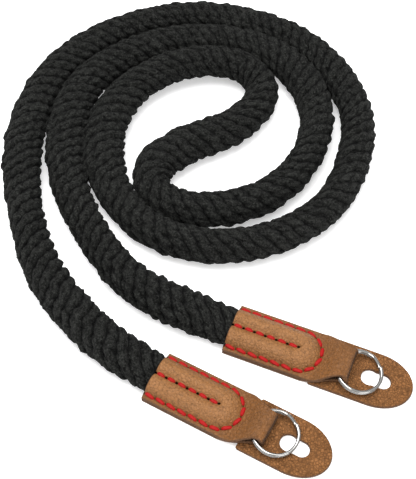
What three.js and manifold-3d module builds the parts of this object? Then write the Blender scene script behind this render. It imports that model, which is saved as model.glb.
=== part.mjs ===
// Camera strap of soft round rope, laid down doubled in a loose flat spiral. Each end of the rope is
// squeezed flat inside a folded leather sleeve. The sleeve's fold holds a steel split ring, and a leather
// guard with a keyhole lies under the ring. Millimetres, +Z up, standing on Z = 0.
import * as THREE from "three";
import { mergeVertices } from "three/addons/utils/BufferGeometryUtils.js";
import Module from "manifold-3d";

const wasm = await Module();
wasm.setup();

// Rope
const ROPE_D = 12;
const ROPE_SIDES = 12;
const ROPE_STEPS = 80;
const ROPE_IN_SLEEVE = 22.5; // how far each rope end reaches into its sleeve
const SQUEEZE_LENGTH = 15; // the rope flattens over this length before the mouth
const SQUEEZED_HEIGHT = 2.6;
const SQUEEZED_MIDDLE_Z = 3;

// Leather
const LEATHER_T = 1.4;
const GUARD_T = 1.5;
const CLEAR = 0.35;
const SLEEVE_HALF_W = 8.8;
const TAPER_START = 29.5;
const TAPER_END = 38.2;
const FOLD_HALF_W = 5.3;
const FOLD_END = 39.8;
const ARCH_HALF_W = 7.6;
const ARCH_RISE = 3.6;
const HOLLOW_HALF_W = 6.6;
const HOLLOW_RISE = 2.9;
const HOLLOW_EDGE = 0.3; // height of the hollow at its side edges
const HOLLOW_NOSE_HALF_W = 1; // half width of the hollow's blunt round end
const U_CENTRE_X = 21.8; // centre of the round end of the arch
const ROW_END = 22.5; // the middle row of stitches pulls a valley into the arch up to here
const ROW_FADE = 2;
const VALLEY_DEPTH = 0.7;
const VALLEY_HALF_W = 1.4;
const STEP_START = 27; // the sleeve's underside rises onto the guard between these two
const STEP_END = 32.7;
const RISE_START = 25; // its upper face rises over the ring between these two
const RISE_END = 36.5;
const SLIT_START = 30.2; // past the stitches the two layers part and make room for the ring
const SLIT_FULL = 37.2;
const SLIT_END = 38.2;
const SLIT_CLOSED = 0.7; // share of the slit's height that is closed at its end
const FOLD_LIP = 0.35; // half the flat left at the very end of the fold

// Guard
const GUARD_START = 33;
const GUARD_HALF_W = 9.1;
const GUARD_OVAL_START = 47.4;
const GUARD_TIP = 59.4;
const KEY_ROUND_X = 45.9; // the keyhole's round end is towards the fold, and its narrow end towards the tip
const KEY_ROUND_R = 2.75;
const KEY_SLOT_X = 50.1;
const KEY_SLOT_R = 2.5;
const ARC_SEGMENTS = 20; // straight steps along each curve of the outline

// Split ring
const RING_MID_R = 7;
const RING_WIRE = 1.3; // wire width, measured outwards from the ring's centre
const RING_COILS = 1.7; // height of the two coils together
const RING_GROOVE = 0.12; // depth of the groove between the coils
const RING_CORNER = 0.3; // bevel of each coil's edges
const RING_SEGMENTS = 40;
const RING_SLOPE = Math.atan(0.132); // the ring leans from the fold down onto the guard
const RING_Z = 3.57;
const RING_PLAY = 0.3; // gap kept between the ring and the leather round it
const RING_SLACK = 0.5; // the fold's opening is this much higher than the two coils

// Where each sleeve's mouth is, the way that its end points, how far along it the ring's centre is, and how
// far to the side its guard lies
const END_A = { x: 12.9, y: -48, turn: THREE.MathUtils.degToRad(-22), ringX: 42.4, guardY: 0.8 };
const END_B = { x: -11, y: -64.5, turn: THREE.MathUtils.degToRad(-28.7), ringX: 41.3, guardY: 0 };

// The rope's middle line between the two mouths, from end B to end A. Columns: x, y, lift.
// Lift is how far that stretch rides up where it leans on its neighbour.
const ROUTE = [
  [-25, -57.5, 0],
  [-39, -44, 0],
  [-50, -27, 0],
  [-58, -6.5, 0],
  [-62, 15, 0],
  [-61.5, 37, 0],
  [-54.5, 58, 0],
  [-41.5, 75.5, 0],
  [-23, 87.5, 0],
  [-1.5, 92, 0],
  [20, 88.5, 0],
  [39.5, 78, 0],
  [53, 60.5, 0],
  [59, 39.5, 0],
  [56, 17.5, 0],
  [45.5, -1.5, 0],
  [28, -14.5, 0],
  [6.5, -18.5, 0],
  [-13, -12.5, 0],
  [-25.5, -0.5, 0],
  [-32.5, 16.5, 0],
  [-32.5, 36.5, 0],
  [-22.5, 53.5, 0.8],
  [-6, 63.5, 1.8],
  [10, 64.5, 1.7],
  [20, 60.5, 0.8],
  [24.5, 52.5, 0],
  [22, 43.5, 0],
  [13, 33.5, 0],
  [-3, 25.5, 0],
  [-13.5, 16.5, 0],
  [-14.5, 6.5, 0],
  [-8, -0.5, 0],
  [5.5, -3, 0],
  [24.5, 2.5, 0],
  [37.5, 17.5, 0],
  [44, 36, 0],
  [42.5, 53.5, 0],
  [32, 68, 0.4],
  [14, 76.5, 0.6],
  [-7.5, 77.5, 0.3],
  [-28, 69, 0],
  [-41.5, 54.5, 0],
  [-47, 33.5, 0],
  [-44.5, 9.5, 0],
  [-35.5, -12.5, 0],
  [-21, -31.5, 0],
  [-2, -43, 0],
];

const ROPE_BLACK = new THREE.MeshStandardMaterial({ color: 0x1f2021, roughness: 0.95, metalness: 0 });
const LEATHER_TAN = new THREE.MeshStandardMaterial({ color: 0xa06f49, roughness: 0.6, metalness: 0 });
const GUARD_TAN = new THREE.MeshStandardMaterial({ color: 0x935c31, roughness: 0.8, metalness: 0 });
const NICKEL = new THREE.MeshStandardMaterial({ color: 0xc9cbcc, roughness: 0.2, metalness: 1 });

// Closed geometry to solid and back
function toSolid(geometry) {
  const bare = geometry.clone();
  bare.deleteAttribute("normal");
  bare.deleteAttribute("uv");
  const merged = mergeVertices(bare, 1e-4);
  const mesh = new wasm.Mesh({
    numProp: 3,
    vertProperties: merged.attributes.position.array,
    triVerts: new Uint32Array(merged.index.array),
  });
  return new wasm.Manifold(mesh);
}

function toGeometry(solid) {
  const mesh = solid.getMesh();
  const geometry = new THREE.BufferGeometry();
  geometry.setAttribute("position", new THREE.BufferAttribute(mesh.vertProperties, 3));
  geometry.setIndex(new THREE.BufferAttribute(mesh.triVerts, 1));
  geometry.computeVertexNormals();
  return geometry;
}

// A mesh of one sub-part
function part(name, geometry, material) {
  const mesh = new THREE.Mesh(geometry, material);
  mesh.name = name;
  return mesh;
}

function smooth(from, to, value) {
  return THREE.MathUtils.smoothstep(value, from, to);
}

// A closed sheet over a plan outline: its half width is a function of x, and its lower and upper faces
// are heights over x and y. xs lists the stations along x, and shares the places across, from -1 to 1.
function sheet(xs, shares, halfWidth, lower, upper) {
  const across = shares.length;
  const positions = [];
  const faces = [];
  for (const height of [lower, upper]) {
    for (const x of xs) {
      for (const share of shares) {
        const y = share * halfWidth(x);
        positions.push(x, y, height(x, y));
      }
    }
  }
  const layer = xs.length * across;
  const at = (i, j, level) => level * layer + i * across + j;
  const quad = (a, b, c, d) => faces.push(a, b, c, a, c, d);
  for (let i = 0; i + 1 < xs.length; i++) {
    for (let j = 0; j + 1 < across; j++) {
      quad(at(i, j, 1), at(i + 1, j, 1), at(i + 1, j + 1, 1), at(i, j + 1, 1));
      quad(at(i, j, 0), at(i, j + 1, 0), at(i + 1, j + 1, 0), at(i + 1, j, 0));
    }
    quad(at(i, 0, 0), at(i + 1, 0, 0), at(i + 1, 0, 1), at(i, 0, 1));
    quad(at(i + 1, across - 1, 0), at(i, across - 1, 0), at(i, across - 1, 1), at(i + 1, across - 1, 1));
  }
  const last = xs.length - 1;
  for (let j = 0; j + 1 < across; j++) {
    quad(at(0, j + 1, 0), at(0, j, 0), at(0, j, 1), at(0, j + 1, 1));
    quad(at(last, j, 0), at(last, j + 1, 0), at(last, j + 1, 1), at(last, j, 1));
  }
  const geometry = new THREE.BufferGeometry();
  geometry.setAttribute("position", new THREE.Float32BufferAttribute(positions, 3));
  geometry.setIndex(faces);
  return geometry;
}

// Evenly spaced numbers from one value to another, both included
function spaced(from, to, count) {
  return Array.from({ length: count + 1 }, (_, i) => from + ((to - from) * i) / count);
}

// Rope: one tube whose sections are packed closer where the route bends tightly
class RopeLine extends THREE.CatmullRomCurve3 {
  getSpacedPoints(count) {
    return this.getPoints(count);
  }
  getTangentAt(share, target) {
    return this.getTangent(share, target);
  }
}

function along(end, distance) {
  const x = end.x + distance * Math.cos(end.turn);
  const y = end.y + distance * Math.sin(end.turn);
  return new THREE.Vector3(x, y, ROPE_D / 2);
}

function ropeLine() {
  const middle = ROUTE.map(([x, y, lift]) => new THREE.Vector3(x, y, ROPE_D / 2 + lift));
  const half = ROPE_IN_SLEEVE / 2;
  const intoB = [along(END_B, ROPE_IN_SLEEVE), along(END_B, half), along(END_B, 0)];
  const intoA = [along(END_A, 0), along(END_A, half), along(END_A, ROPE_IN_SLEEVE)];
  return new RopeLine([...intoB, ...middle, ...intoA]);
}

// Near a mouth the rope's section goes from a circle to a flat oval that sits in the sleeve
function squeeze(point, end) {
  const dx = point.x - end.x;
  const dy = point.y - end.y;
  const x = dx * Math.cos(end.turn) + dy * Math.sin(end.turn);
  const y = dy * Math.cos(end.turn) - dx * Math.sin(end.turn);
  if (x < -SQUEEZE_LENGTH || Math.abs(y) > ROPE_D) return;
  const share = smooth(-SQUEEZE_LENGTH, 0, x);
  const flat = THREE.MathUtils.lerp(1, SQUEEZED_HEIGHT / ROPE_D, share);
  const middle = THREE.MathUtils.lerp(ROPE_D / 2, SQUEEZED_MIDDLE_Z, share);
  point.z = middle + (point.z - ROPE_D / 2) * flat;
}

function ropeGeometry() {
  const section = new THREE.Shape();
  for (let i = 0; i < ROPE_SIDES; i++) {
    const angle = (2 * Math.PI * (i + 0.5)) / ROPE_SIDES;
    const x = (ROPE_D / 2) * Math.cos(angle);
    const y = (ROPE_D / 2) * Math.sin(angle);
    if (i === 0) section.moveTo(x, y);
    else section.lineTo(x, y);
  }
  section.closePath();
  const tube = new THREE.ExtrudeGeometry(section, { steps: ROPE_STEPS, extrudePath: ropeLine() });
  const place = tube.attributes.position;
  const point = new THREE.Vector3();
  for (let i = 0; i < place.count; i++) {
    point.fromBufferAttribute(place, i);
    squeeze(point, END_A);
    squeeze(point, END_B);
    place.setXYZ(i, point.x, point.y, point.z);
  }
  return toGeometry(toSolid(tube));
}

// Leather sleeve: one strip folded round the ring, its two layers sewn together on both sides of the rope
const FOLD_HEIGHT = 2 * LEATHER_T + RING_COILS + RING_SLACK;

function sleeveHalfWidth(x) {
  return THREE.MathUtils.lerp(SLEEVE_HALF_W, FOLD_HALF_W, smooth(TAPER_START, TAPER_END, x));
}

function sleeveUnderside(x) {
  return (GUARD_T + CLEAR) * smooth(STEP_START, STEP_END, x);
}

function sleeveUpperFace(x) {
  const flange = 2 * LEATHER_T;
  const overRing = GUARD_T + CLEAR + FOLD_HEIGHT;
  return THREE.MathUtils.lerp(flange, overRing, smooth(RISE_START, RISE_END, x));
}

// Share of the arch's height at a point: 1 over the rope, 0 at the foot of the arch
function bulge(x, y, halfWidth) {
  const out = Math.hypot(Math.max(0, x - U_CENTRE_X), y) / halfWidth;
  return Math.sqrt(Math.max(0, 1 - out ** 4));
}

function valley(x, y) {
  const inRow = 1 - smooth(ROW_END - ROW_FADE, ROW_END + ROW_FADE, x);
  return VALLEY_DEPTH * inRow * Math.exp(-((y / VALLEY_HALF_W) ** 2));
}

// The fold is round where it turns, so both faces close in on its mid height towards the end
function foldRound(x) {
  const radius = FOLD_HEIGHT / 2;
  const into = Math.max(0, x - (FOLD_END - radius));
  const left = Math.sqrt(Math.max(0, radius ** 2 - into ** 2));
  return radius - Math.max(left, FOLD_LIP);
}

function sleeveBody() {
  const top = (x, y) => {
    const share = bulge(x, y, ARCH_HALF_W);
    const arch = share > 0 ? ARCH_RISE * share - valley(x, y) : 0;
    return sleeveUpperFace(x) + arch - foldRound(x);
  };
  const underside = (x) => sleeveUnderside(x) + foldRound(x);
  const stations = [...spaced(0, 20, 4), 22, 24, 26, 27.5, 28.6, 29.4, 30.5, 31.6, 32.7, 34];
  stations.push(35.5, 37.3, 38.2, 38.9, 39.4, 39.7, FOLD_END);
  const places = [0, 0.08, 0.16, 0.3, 0.48, 0.62, 0.72, 0.79, 0.84, 0.9, 1];
  const shares = [...places.slice(1).reverse().map((place) => -place), ...places];
  return toSolid(sheet(stations, shares, sleeveHalfWidth, underside, top));
}

// The flat space that the rope's end fills
function sleeveHollow() {
  const top = (x, y) => LEATHER_T + HOLLOW_EDGE + HOLLOW_RISE * bulge(x, y, HOLLOW_HALF_W);
  const halfWidth = (x) => {
    const past = Math.max(0, x - U_CENTRE_X);
    return Math.max(HOLLOW_NOSE_HALF_W, Math.sqrt(Math.max(0, HOLLOW_HALF_W ** 2 - past ** 2)));
  };
  const stations = [-1, 10, 20, 22, 24, 26, 27.4, U_CENTRE_X + HOLLOW_HALF_W];
  const shares = [-1, -0.98, -0.92, -0.8, -0.6, -0.3, 0, 0.3, 0.6, 0.8, 0.92, 0.98, 1];
  return toSolid(sheet(stations, shares, halfWidth, () => LEATHER_T, top));
}

// The opening between the two layers that the ring runs through
function sleeveSlit() {
  const low = (x) => sleeveUnderside(x) + LEATHER_T;
  const high = (x) => {
    const open = sleeveUpperFace(x) - LEATHER_T - low(x);
    return low(x) + open * (1 - SLIT_CLOSED * smooth(SLIT_FULL, SLIT_END, x));
  };
  const stations = [SLIT_START, 31.6, 32.7, 34, 35.5, SLIT_FULL, 37.8, SLIT_END];
  return toSolid(sheet(stations, [-1, 1], () => SLEEVE_HALF_W + 1, low, high));
}

function sleeveGeometry(ringX) {
  const roomForRing = toSolid(placeRing(ringGeometry(RING_PLAY), ringX));
  const solid = sleeveBody().subtract(sleeveHollow()).subtract(sleeveSlit());
  return toGeometry(solid.subtract(roomForRing));
}

// Split ring: two coils of wire pressed together, seen as a groove round the outside and inside.
// Grown by a gap and without its groove, the same shape is the room that it needs.
function ringGeometry(grow) {
  const outer = RING_WIRE / 2 + grow;
  const high = RING_COILS / 2 + grow;
  const groove = grow > 0 ? 0 : RING_GROOVE;
  const half = [
    [outer - groove, 0],
    [outer, RING_CORNER],
    [outer, high - RING_CORNER],
    [outer - RING_CORNER, high],
    [RING_CORNER - outer, high],
    [-outer, high - RING_CORNER],
    [-outer, RING_CORNER],
    [groove - outer, 0],
  ];
  const lower = half.slice(1, -1).reverse().map(([out, up]) => [out, -up]);
  const loop = [...half, ...lower, half[0]];
  const points = loop.map(([out, up]) => new THREE.Vector2(RING_MID_R + out, up));
  const ring = new THREE.LatheGeometry(points, RING_SEGMENTS);
  ring.rotateX(Math.PI / 2);
  return ring;
}

function placeRing(geometry, ringX) {
  geometry.rotateY(RING_SLOPE);
  geometry.translate(ringX, 0, RING_Z);
  return geometry;
}

// Guard: straight end under the sleeve, oval free end, keyhole that narrows towards the tip
function guardGeometry(guardY) {
  const outline = new THREE.Shape();
  outline.moveTo(GUARD_START, -GUARD_HALF_W);
  outline.lineTo(GUARD_OVAL_START, -GUARD_HALF_W);
  const reach = GUARD_TIP - GUARD_OVAL_START;
  outline.absellipse(GUARD_OVAL_START, 0, reach, GUARD_HALF_W, -Math.PI / 2, Math.PI / 2, false, 0);
  outline.lineTo(GUARD_START, GUARD_HALF_W);
  outline.closePath();
  const meet = Math.asin(KEY_SLOT_R / KEY_ROUND_R);
  const keyhole = new THREE.Path();
  keyhole.absarc(KEY_ROUND_X, 0, KEY_ROUND_R, meet, 2 * Math.PI - meet, false);
  keyhole.absarc(KEY_SLOT_X, 0, KEY_SLOT_R, -Math.PI / 2, Math.PI / 2, false);
  keyhole.closePath();
  outline.holes.push(keyhole);
  const plate = new THREE.ExtrudeGeometry(outline, {
    depth: GUARD_T,
    bevelEnabled: false,
    curveSegments: ARC_SEGMENTS,
  });
  plate.translate(0, guardY, 0);
  return toGeometry(toSolid(plate));
}

// One end of the strap, in its own frame: x runs from the mouth to the tip, y across
function strapEnd(letter, end) {
  const group = new THREE.Group();
  group.add(part("leather_sleeve_" + letter, sleeveGeometry(end.ringX), LEATHER_TAN));
  group.add(part("guard_flap_" + letter, guardGeometry(end.guardY), GUARD_TAN));
  const ring = toGeometry(toSolid(placeRing(ringGeometry(0), end.ringX)));
  group.add(part("split_ring_" + letter, ring, NICKEL));
  group.position.set(end.x, end.y, 0);
  group.rotation.z = end.turn;
  return group;
}

const strap = new THREE.Group();
strap.add(part("rope", ropeGeometry(), ROPE_BLACK));
strap.add(strapEnd("a", END_A));
strap.add(strapEnd("b", END_B));

export default strap;
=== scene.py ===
"""Camera strap of soft knitted rope, laid in a flat spiral, with folded leather ends and split rings.

Surfaces are worked out in millimetres, in the frame's own axes, and written to the meshes in metres.
"""
import math

import bmesh
import bpy
import numpy as np
from bpy.props import FloatProperty, FloatVectorProperty, IntProperty, PointerProperty
from bpy.types import Operator, Panel, PropertyGroup
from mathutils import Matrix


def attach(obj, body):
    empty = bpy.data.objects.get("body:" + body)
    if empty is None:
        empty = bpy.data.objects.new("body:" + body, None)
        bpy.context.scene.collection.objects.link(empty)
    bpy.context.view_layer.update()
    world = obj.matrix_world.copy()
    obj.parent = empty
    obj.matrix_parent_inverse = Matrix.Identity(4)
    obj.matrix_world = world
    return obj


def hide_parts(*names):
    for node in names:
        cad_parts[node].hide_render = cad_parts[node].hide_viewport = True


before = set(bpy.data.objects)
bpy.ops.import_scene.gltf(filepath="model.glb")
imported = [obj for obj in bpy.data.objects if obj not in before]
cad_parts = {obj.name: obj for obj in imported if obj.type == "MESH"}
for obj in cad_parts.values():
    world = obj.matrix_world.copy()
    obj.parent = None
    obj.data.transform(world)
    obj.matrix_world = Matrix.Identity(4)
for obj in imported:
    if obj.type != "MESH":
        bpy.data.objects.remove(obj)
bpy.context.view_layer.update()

bl_info = {
    "name": "Coiled Camera Strap",
    "version": (1, 0, 0),
    "blender": (4, 5, 0),
    "location": "3D View > Sidebar > Strap",
    "description": "Builds a rope camera strap with folded leather ends, split rings and red stitching",
    "category": "Add Mesh",
}

MM = 0.001

# Mouth of each sleeve, the way that its end points in degrees, how far along it the ring's centre is, how
# far to the side its guard lies, how far along the guard begins and how far to the side the sleeve lies
ENDS = {
    "a": {"x": 12.9, "y": -48.0, "turn": -22.0, "ring_x": 42.4, "guard_y": 0.6,
          "guard_start": 28.0, "sleeve_y": 0.35},
    "b": {"x": -11.0, "y": -64.5, "turn": -28.7, "ring_x": 41.3, "guard_y": 0.0,
          "guard_start": 32.2, "sleeve_y": -0.35},
}

# Rope. The columns of its middle line, from end b to end a: x, y, lift over a neighbour, and how much wider
# than its usual half width the soft rope lies there
ROPE_IN_SLEEVE = 22.5
ROPE_MIDDLE_Z = 6.0
SQUEEZE_LENGTH = 15.0
SQUEEZE_REACH = 12.0  # how far to the side of an end's line the squeeze works
SQUEEZED_HEIGHT = 3.1
SQUEEZED_MIDDLE_Z = 3.1
SQUEEZED_DIP = 0.9  # the middle row of stitches presses the rope's top in by this much
SQUEEZED_DIP_ABOVE = 4.4  # height from which the dip is full
DRAWN_IN = 0.84  # share of its width that the rope keeps inside the sleeve
DRAWN_IN_RUN = (-1.0, 3.0)
ROUTE = [
    (-24.5, -57, 0, 0.2), (-38.5, -43.5, 0, 0.3), (-50, -27, 0, 0.1), (-57.3, -6.5, 0, -0.1),
    (-61.3, 15, 0, 0.9), (-60.8, 37, 0, 1.2), (-54.5, 58, 0, 0.9), (-41, 75, 0, 0.7),
    (-22.5, 86.2, 0, 0.5), (-1.5, 90.8, 0, 0.4), (19.6, 87.5, 0, 0.4), (39, 77.5, 0, 0.3),
    (53, 60.5, 0, 0.4), (59.5, 39.5, 0, 0.2), (56.4, 17.5, 0, 0.3), (46, -2, 0, 0),
    (28, -14.5, 0, -0.1), (6.5, -18.3, 0, 0.25), (-13, -12.5, 0, 0), (-25.1, -0.2, 0, 0.2),
    (-32, 16.5, 0, 1.4), (-31.8, 36.3, 0, 1.5), (-22.3, 53.3, 0.8, 1.1), (-6, 63.2, 1.8, 0.5),
    (10, 65, 1.7, 0.1), (20.4, 61, 0.8, 0), (25, 52.5, 0, 0.3), (22.4, 43.3, 0, 0.3),
    (13, 33.5, 0, 0.8), (-3, 25.5, 0, 1.7), (-13.5, 16.5, 0, 1.5), (-14.7, 6.5, 0, 0.2),
    (-8, -0.5, 0, 0), (5.5, -3.2, 0, 0.4), (24.5, 2.5, 0, 0.3), (38.4, 17, 0, 0), (44.6, 36, 0, 0.6),
    (42.2, 53.5, 0, 0.8), (32, 68, 0.4, 0.5), (14, 76.3, 0.6, 0.5), (-7.5, 77, 0.3, 0.5),
    (-28, 68.5, 0, 0.7), (-41.3, 54.3, 0, 1.1), (-46.6, 33.5, 0, 1.6), (-44.2, 9.5, 0, 0.6),
    (-34.9, -12.2, 0, -0.2), (-20.9, -31.4, 0, -0.2), (-2, -43, 0, 0.3),
]
WIDER_AT_MOUTH = 0.2
ROPE_RINGS = 1600
ROPE_SIDES = 60
ROPE_CAP = 4.0  # length over which each hidden end of the rope rounds off
FLOOR_TOUCH = 0.22  # height of the flattened underside where the rope rests
FLOOR_SOFTNESS = 0.35
STEEP_STARTS = 5  # ridges side by side along one turn of the rope
STITCH_STARTS = 11  # stitches along a ridge in one turn
PARTING_SLANT = 0.35  # lean of the partings between stitches from one groove to the next
PIT_POWER = (0.5, 1.3)  # power of a ridge's roundness amid a stitch, and its growth towards a parting
PARTING_HEIGHT = 0.62  # share of a ridge's height left at a parting
ROW_WANDER = 0.5  # how far the rows of stitches wander along the rope
STITCH_WANDER = 0.06  # the same for single stitches, as a share of the pitch
STITCH_UNEVENNESS = 0.16
YARN_UNEVENNESS = 0.07
COARSE_RUN = (50.0, 130.0)  # from coarse stitches near a mouth to fine ones further off
FINE_RELIEF = 0.9
COARSE_RELIEF = 1.25
COARSE_SINK = 0.85  # share of the relief taken off the rope's radius where it is coarse
# Share of the painted groove shade and of the shading relief kept where the stitches are fine
FINE_SHADE = 0.8
WIDE_RUN = (30.0, 70.0)
WIDE_SHARE = 0.08  # near a mouth the rope lies this much wider than high

# Leather
LEATHER_T = 1.4
GUARD_T = 1.5
CLEAR = 0.35
SLEEVE_HALF_W = 8.8
MOUTH = -0.6
TAPER = (28.6, 38.0)
FOLD_HALF_W = 5.3
FOLD_END = 39.8
FOLD_OUTER_R = 2.5
STEP = (25.0, 31.0)
RISE = (27.3, 36.8)
ARCH_HALF_W = 7.3
ARCH_RISE = 3.45
ARCH_FULLNESS = 3.0
ARCH_FILLET = 0.6
ARCH_FOOT_SINK = 0.02
ARCH_NOSE_DROP = 0.15  # the arch's round end is this share lower
ARCH_NOSE_RUN = (18.0, 28.0)
U_CENTRE_X = 22.4
ROW_END = 22.0
VALLEY_DEPTH = 1.35
VALLEY_HALF_W = 2.1
EDGE_ROUND = 0.5
SKIVED = 0.4  # the upper layer is pared this much thinner over the ring
SKIVED_RUN = (28.0, 33.0)
ROW_FADE = 2.0
ROW_DIP = (0.28, 0.6)  # depth and half width of the dip along a row of stitches
SIDE_HOLE = (0.6, 0.45)  # strength and radius of a needle hole in the curved row
MIDDLE_HOLE_R = 0.48
MIDDLE_HOLE_LONG = 1.3  # the holes of the middle row are drawn out along it by this factor
HOLE_DEPTH = 0.5
RAW_EDGE = 0.45  # width of the darker raw edge
RING_SEAT_R = 6.35  # radius of the ring's inner edge, which the fold's end bulges out to
RING_SEAT_RUN = (33.5, 37.5)
RING_SEAT_MOST = 0.7
RING_SEAT_OVER = 0.1
# Shade of the fold by the angle round it: strength of its front with where that comes and goes, and strength,
# place and width of the creases at either side
FOLD_FRONT = (0.8, (0.3, 0.6), (1.9, 2.3))
FOLD_CREASES = ((0.4, 2.1, 0.25), (0.4, 0.5, 0.3))

# Guard
GUARD_HALF_W = 9.2
GUARD_OVAL_START = 47.4
GUARD_TIP = 59.7
GUARD_CORNER = 0.7
KEY_ROUND = (45.9, 2.75)  # centre along the guard and radius of each end of the keyhole
KEY_SLOT = (50.1, 2.5)
KEY_CENTRE = 47.6  # a point inside the keyhole
GUARD_RAW_EDGE = 0.4
GUARD_WAVE = 0.06  # height of the faces' waves
GUARD_WAVE_TURNS = (0.55, 0.5)  # radians of a wave for each mm along and across
GUARD_WAVE_SHIFT = 1.0
GUARD_WAVE_FADE = 3.0  # the waves fade out this near to an edge

# Stitching
ROW_OUT = 7.15  # the curved row keeps this far from the middle row
ROW_START = -0.3
THREAD_HALF_W = 0.63
THREAD_FLATNESS = 0.8
SIDE_RUN = 0.97  # share of the way from hole to hole that a stitch of the curved row shows
MIDDLE_RUN = 0.8
STITCH_SUNK = 0.55  # how deep a stitch's ends lie under the leather's face
STITCH_RISE = 0.68
UNDER_STITCH_Z = (0.36, 0.2)  # height of an underside stitch's middle and how much its ends rise
PLIES = 3
PLY_RELIEF = 0.07
PLY_LENGTH = 3.6 / 9.0  # length of thread for one radian of its twist
STITCH_TURN = math.radians(-9.0)

# Split ring
RING_MID_R = 7.0
RING_SLOPE = math.atan(0.132)
RING_Z = 3.57
RING_STEP = math.radians(32)  # arc over which the wire climbs from the lower coil to the upper one
RING_STARTS = {"a": math.radians(70), "b": math.radians(88)}  # where the wire's lower end lies
COIL_SPACING = 0.85
WIRE_END_ROUND = 0.18

# Camera, solved from the photograph, and floor
CAMERA_AT = (4.8, -204.5, 286.0)
CAMERA_ELEVATION = 56.0
PHOTO_SIZE = (416, 479)
FOCAL_PIXELS = 1000.0
SENSOR = 36.0
FLOOR_HALF = 4.0  # half the floor's width, in metres

# Lights: name, place and size in metres, and share of the key light's power
LIGHTS = [
    ("overhead", (-0.1, 0.05, 0.9), 0.7, 1.0),
    ("front_fill", (0.5, -0.7, 0.6), 0.5, 0.25),
]

# The two kinds of leather: mottles and cells for each metre, strength of the spots and of the painted shade
# in the creases between cells, least and most roughness, shine and depth of the cells
SMOOTH_GRAIN = {"mottle": 1300.0, "cells": 900.0, "spots": 0.6, "creases": 0.3, "rough": (0.5, 0.62),
                "shine": 0.38, "cell_depth": 1.0}
PEBBLED_GRAIN = {"mottle": 1000.0, "cells": 1050.0, "spots": 0.9, "creases": 0.7, "rough": (0.7, 0.85),
                 "shine": 0.3, "cell_depth": 1.6}
CELL_BEND = 0.0009  # how far noise bends the cells' outlines
ARCH_HIGHLIGHT_GAIN = (1.85, 2.15, 3.3)  # gain of each colour for the painted highlight where the leather lies over the rope's arch
LIGHT_SPOTS = (1.2, 1.27, 1.5)
# Painted shade down in the needle holes
HOLE_SHADE_COLOR = (0.002, 0.001, 0.001, 1.0)
NICKEL = ((0.38, 0.375, 0.36, 1), (0.41, 0.405, 0.39, 1))
FUZZ_COLOR = (0.6, 0.03, 0.035, 1.0)
LINT_COLOR = (0.09, 0.09, 0.09, 1.0)


def smooth(low, high, value):
    """Smooth step: 0 up to low, 1 from high on, and 3t^2 - 2t^3 between."""
    t = np.clip((value - low) / (high - low), 0.0, 1.0)
    return t * t * (3.0 - 2.0 * t)


def mix(a, b, share):
    """Straight mix of a and b."""
    return a + (b - a) * share


def rounding(distance, radius):
    """Share of full thickness at a distance from a cut edge: the cube root of 1 - (1 - d/r)^3, which is 0
    at the edge and 1 from one radius on."""
    inside = 1.0 - np.clip(distance / radius, 0.0, 1.0)
    return np.cbrt(1.0 - inside**3)


def ripple(s, turn, seed, waves=9, length=18.0, most_round=3):
    """Gentle unevenness from -1 to 1: a sum of sines along s (mm) and round the turn (radians), whole waves
    round the turn so that it closes, with their lengths and phases from a seeded draw."""
    draw = np.random.default_rng(seed)
    total = np.zeros(np.broadcast(s, turn).shape)
    for _ in range(waves):
        along = 2.0 * math.pi / (length * draw.uniform(0.5, 2.0))
        rounds = draw.integers(-most_round, most_round + 1)
        phase = draw.uniform(0.0, 6.28)
        total = total + np.sin(along * s + rounds * turn + phase)
    return total / math.sqrt(waves)


def unit(vectors):
    """Vectors scaled to length 1."""
    return vectors / np.maximum(np.linalg.norm(vectors, axis=-1, keepdims=True), 1e-12)


def place_end(points, letter):
    """Points of one strap end, from its own axes (x from the mouth to the tip) to the frame's: turned about
    the vertical and moved to the mouth."""
    end = ENDS[letter]
    c, s = math.cos(math.radians(end["turn"])), math.sin(math.radians(end["turn"]))
    x = end["x"] + points[..., 0] * c - points[..., 1] * s
    y = end["y"] + points[..., 0] * s + points[..., 1] * c
    return np.stack([x, y, points[..., 2]], axis=-1)


def make_piece(name, grids, material, body, nodes=()):
    """One closed piece from grids of points. A grid is (points, uv, marks): points has the shape
    (..., rows, columns, 3), uv the same with 2, and marks is a dict of values at the points. Neighbouring
    points make quads, and points that meet at seams, edges and poles are merged."""
    points, uvs, faces, marks, base = [], [], [], {}, 0
    for place, uv, values in grids:
        rows, columns = place.shape[-3:-1]
        stack = int(np.prod(place.shape[:-3], dtype=int))
        at = np.arange(rows * columns).reshape(rows, columns)
        quad = np.stack([at[:-1, :-1], at[1:, :-1], at[1:, 1:], at[:-1, 1:]], axis=-1).reshape(-1, 4)
        starts = base + np.arange(stack) * rows * columns
        faces.append((starts[:, None, None] + quad[None]).reshape(-1, 4))
        points.append(place.reshape(-1, 3))
        uvs.append(np.broadcast_to(uv, place.shape[:-1] + (2,)).reshape(-1, 2))
        for key, value in values.items():
            marks.setdefault(key, []).append(np.broadcast_to(value, place.shape[:-1]).ravel())
        base += stack * rows * columns
    points, uvs, faces = np.concatenate(points) * MM, np.concatenate(uvs), np.concatenate(faces)
    mesh = bpy.data.meshes.new(name)
    mesh.from_pydata(points.tolist(), [], faces.tolist())
    layer = mesh.uv_layers.new(name="surface")
    layer.data.foreach_set("uv", uvs[faces.ravel()].astype(np.float32).ravel())
    for key, values in marks.items():
        mark = mesh.attributes.new(key, "FLOAT", "POINT")
        mark.data.foreach_set("value", np.concatenate(values).astype(np.float32))
    work = bmesh.new()
    work.from_mesh(mesh)
    bmesh.ops.remove_doubles(work, verts=work.verts, dist=2e-6)
    bmesh.ops.recalc_face_normals(work, faces=work.faces)
    work.to_mesh(mesh)
    work.free()
    mesh.shade_smooth()
    mesh.materials.append(material)
    piece = bpy.data.objects.new(name, mesh)
    bpy.context.scene.collection.objects.link(piece)
    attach(piece, body)
    if nodes:
        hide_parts(*nodes)
    return piece


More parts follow.
